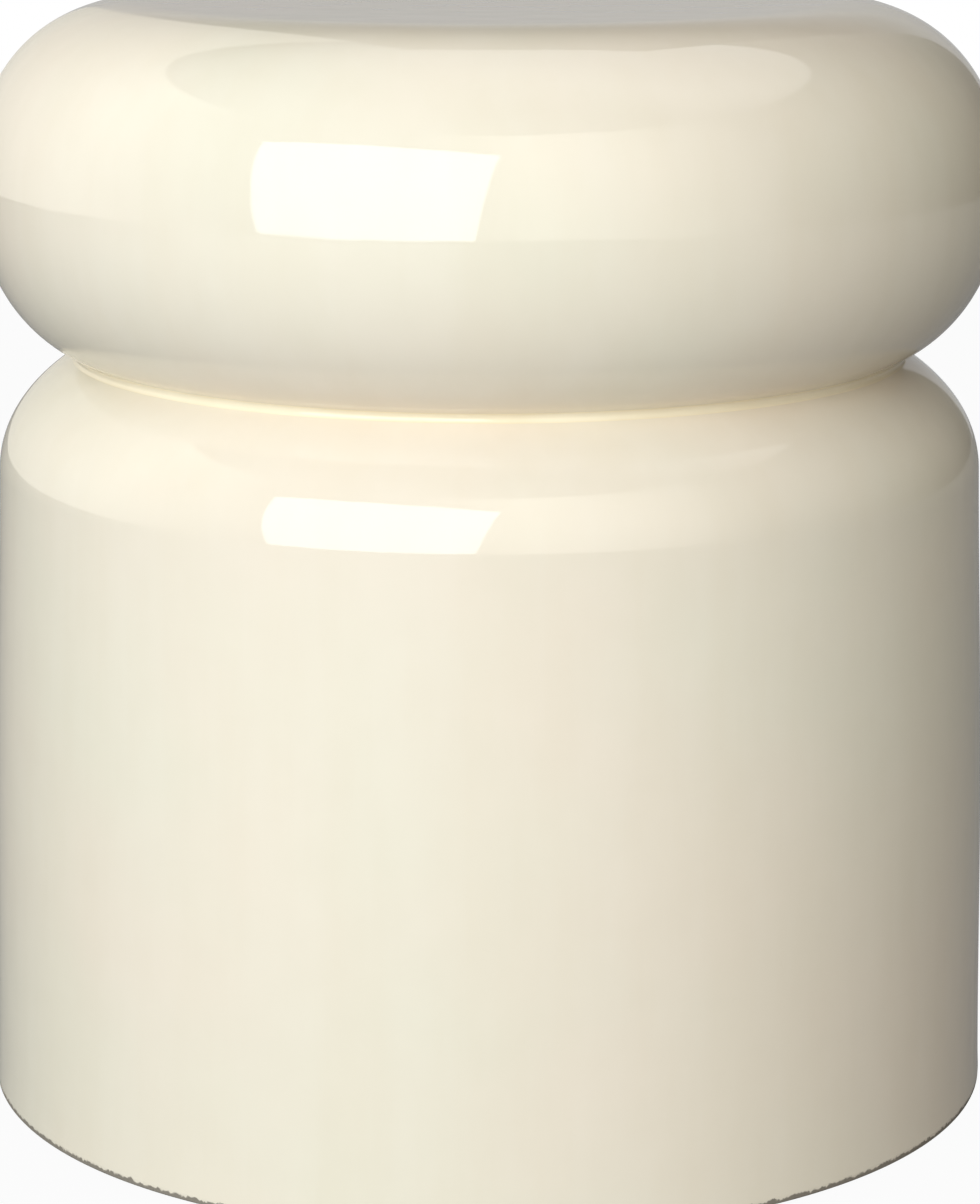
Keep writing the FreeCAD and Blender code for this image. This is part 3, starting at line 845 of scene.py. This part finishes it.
# %% Light the paper wall
FILL_GLOW = 2.0
FILL_EDGE_GLOW = 1.3
BACK_RIGHT_GLOW = 0.1
BACK_GLOW = 0.75
BACK_LEFT_GLOW = 0.95
WINDOW_GLOW = 1.5
LEFT_GLOW = 1.15
WALL_TINT = (1, 0.97, 0.88)
WALL_RAMP_FRONT = 0.25
WALL_STOPS = [(-60, 0.0), (-20, 0.0), (10, FILL_GLOW), (35, FILL_EDGE_GLOW), (65, 0.0),
              (120, 0.0), (150, BACK_RIGHT_GLOW), (195, BACK_GLOW), (225, BACK_LEFT_GLOW),
              (260, WINDOW_GLOW)]


def glowing(name, pattern_kind, stops, tint, size=1.0, middle=(0, 0, 0)):
    """Paper whose glow follows a gradient through (position, brightness) stops."""
    finish = bpy.data.materials.new(name)
    finish.use_nodes = True
    nodes = finish.node_tree.nodes
    links = finish.node_tree.links
    nodes.clear()
    brightest = max(level for position, level in stops)
    place = nodes.new("ShaderNodeMapping")
    place.inputs["Location"].default_value = [-value / size for value in middle]
    place.inputs["Scale"].default_value = (1 / size, 1 / size, 1 / size)
    links.new(nodes.new("ShaderNodeTexCoord").outputs["Object"], place.inputs["Vector"])
    gradient = nodes.new("ShaderNodeTexGradient")
    gradient.gradient_type = pattern_kind
    links.new(place.outputs["Vector"], gradient.inputs["Vector"])
    level = ramp(nodes, links, gradient.outputs["Fac"],
                 [(position, (level / brightest,) * 3) for position, level in stops])
    glow = nodes.new("ShaderNodeEmission")
    glow.inputs["Strength"].default_value = brightest
    links.new(blended(nodes, links, 1.0, level, tint, "MULTIPLY"), glow.inputs["Color"])
    out = nodes.new("ShaderNodeOutputMaterial")
    links.new(glow.outputs["Emission"], out.inputs["Surface"])
    return finish


round_stops = [(0.0, LEFT_GLOW)]
round_stops += [(WALL_RAMP_FRONT + degrees / 360, level) for degrees, level in WALL_STOPS]
round_stops += [(1.0, LEFT_GLOW)]
wall = round_sheet("studio_wall", [(STUDIO_RADIUS, 0), (STUDIO_RADIUS, STUDIO_HEIGHT)],
                   glowing("studio_wall", "RADIAL", round_stops, WALL_TINT))
wall.visible_camera = False

# %% [markdown]
# ### The ceiling
# Above the wall hangs a paper ceiling that glows brightest to the right of the stool
# and behind it. It puts the soft light on the seat's rim and on the drum's shoulder. An
# area lamp would show its corners in the glaze, so the paper glows in a round patch that
# fades out.

# %% Light the ceiling
CEILING_GLOW = 1.05
CEILING_REST = 0.03
CEILING_MIDDLE = (1.5, 1.4, STUDIO_HEIGHT)
CEILING_SPREAD = 3.4
CEILING_FULL_FROM = 0.5
WHITE = (1, 1, 1)
ceiling = round_sheet("studio_ceiling", [(STUDIO_RADIUS, STUDIO_HEIGHT)],
                      glowing("studio_ceiling", "SPHERICAL",
                              [(0.0, CEILING_REST), (CEILING_FULL_FROM, CEILING_GLOW)], WHITE,
                              CEILING_SPREAD, CEILING_MIDDLE))
ceiling.visible_camera = False

# %% [markdown]
# ### The card behind
# A card stands behind the stool, dim at its foot and dark above. The seat's flat top
# mirrors it, which is why the top looks greyer than the rim. Without the card the top
# and the rim would melt into one, so the card reaches up almost to the ceiling, and its
# upper edge draws the line along the front of the top.

# %% Stand the card up
CARD_LEFT = -0.47
CARD_RIGHT = 0.93
CARD_BACK = 2.2
CARD_TOP = 4.05
CARD_GLOW = 0.48
CARD_GLOW_BOTTOM = 0.9
CARD_DARK_ABOVE = 1.7


def glowing_card():
    """Paper that glows low down and fades to dark higher up."""
    finish = bpy.data.materials.new("studio_card")
    finish.use_nodes = True
    nodes = finish.node_tree.nodes
    links = finish.node_tree.links
    nodes.clear()
    height = nodes.new("ShaderNodeSeparateXYZ")
    links.new(nodes.new("ShaderNodeTexCoord").outputs["Object"], height.inputs["Vector"])
    level = spread(nodes, links, height.outputs["Z"], CARD_GLOW_BOTTOM, CARD_DARK_ABOVE,
                   CARD_GLOW, 0.0)
    glow = nodes.new("ShaderNodeEmission")
    links.new(level, glow.inputs["Strength"])
    out = nodes.new("ShaderNodeOutputMaterial")
    links.new(glow.outputs["Emission"], out.inputs["Surface"])
    return finish


card_mesh = bpy.data.meshes.new("studio_card")
card_mesh.from_pydata([(CARD_LEFT, CARD_BACK, 0), (CARD_RIGHT, CARD_BACK, 0),
                       (CARD_RIGHT, CARD_BACK, CARD_TOP), (CARD_LEFT, CARD_BACK, CARD_TOP)],
                      [], [(0, 1, 2, 3)])
card_mesh.materials.append(glowing_card())
card = bpy.data.objects.new("studio_card", card_mesh)
bpy.context.scene.collection.objects.link(card)
card.visible_camera = False
card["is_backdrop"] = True
print(f"card: {CARD_RIGHT - CARD_LEFT:.2f} m wide, {CARD_TOP:.2f} m high")

# %% [markdown]
# ### The softbox
# The two sharp-edged bright patches, one on the seat and one under the shoulder, are
# one lamp seen twice. A softbox is a rectangle of cloth with a lamp inside, and an area
# lamp is just that. Its place was found from where its corners show in the glaze.

# %% Hang the softbox
KEY_PLACE = (-1.19, -2.44, 1.10)
KEY_AIM = Vector((0, 0, 0.25))
KEY_WIDTH = 2.6
KEY_HEIGHT = 2.2
KEY_WATTS = 83.5
KEY_TINT = (0.86, 0.94, 1.0)
key_data = bpy.data.lights.new("key_softbox", "AREA")
key_data.shape = "RECTANGLE"
key_data.size = KEY_WIDTH
key_data.size_y = KEY_HEIGHT
key_data.energy = KEY_WATTS
key_data.color = KEY_TINT
key = bpy.data.objects.new("key_softbox", key_data)
key.location = KEY_PLACE
key.rotation_euler = (KEY_AIM - key.location).to_track_quat("-Z", "Y").to_euler()
bpy.context.scene.collection.objects.link(key)
print(f"softbox: {KEY_WIDTH:.1f} by {KEY_HEIGHT:.1f} m, {KEY_WATTS} W")

# %% [markdown]
# ### Beyond the studio
# The wall and the ceiling shut out almost everything, but the camera looks through them.
# What it sees there is the world, and it has to be white. Again a Light Path node keeps
# that white away from the stool's plain light: only the camera, mirrors and glass see it.

# %% Set the world
world = bpy.data.worlds.new("studio")
bpy.context.scene.world = world
world.use_nodes = True
world_nodes = world.node_tree.nodes
world_links = world.node_tree.links
world_nodes.clear()
ROOM_LEVEL = 0.3
room = world_nodes.new("ShaderNodeBackground")
room.inputs["Color"].default_value = (1, 1, 1, 1)
room.inputs["Strength"].default_value = ROOM_LEVEL
backdrop = world_nodes.new("ShaderNodeBackground")
backdrop.inputs["Color"].default_value = (1, 1, 1, 1)
backdrop.inputs["Strength"].default_value = 1.0
path = world_nodes.new("ShaderNodeLightPath")
mirrored = world_nodes.new("ShaderNodeMath")
mirrored.operation = "MAXIMUM"
world_links.new(path.outputs["Is Glossy Ray"], mirrored.inputs[0])
world_links.new(path.outputs["Is Transmission Ray"], mirrored.inputs[1])
seen = world_nodes.new("ShaderNodeMath")
seen.operation = "MAXIMUM"
world_links.new(path.outputs["Is Camera Ray"], seen.inputs[0])
world_links.new(mirrored.outputs["Value"], seen.inputs[1])
mix = world_nodes.new("ShaderNodeMixShader")
world_links.new(seen.outputs["Value"], mix.inputs["Fac"])
world_links.new(room.outputs["Background"], mix.inputs[1])
world_links.new(backdrop.outputs["Background"], mix.inputs[2])
world_out = world_nodes.new("ShaderNodeOutputWorld")
world_links.new(mix.outputs["Shader"], world_out.inputs["Surface"])
bpy.context.scene.view_settings.view_transform = "Standard"
print(f"world: {len(world_nodes)} nodes")

# %% [markdown]
# ## The size
# The dressed stool must be no larger than the CAD frame. Both boxes are printed, so
# that they can be compared.

# %% Print both sizes and finish
visual_low, visual_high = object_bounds()
sizes = {"cad": [list(cad_low), list(cad_high)], "visual": [list(visual_low), list(visual_high)]}
for name, (low, high) in sizes.items():
    print(name, [round((b - a) * 1000, 2) for a, b in zip(low, high)])
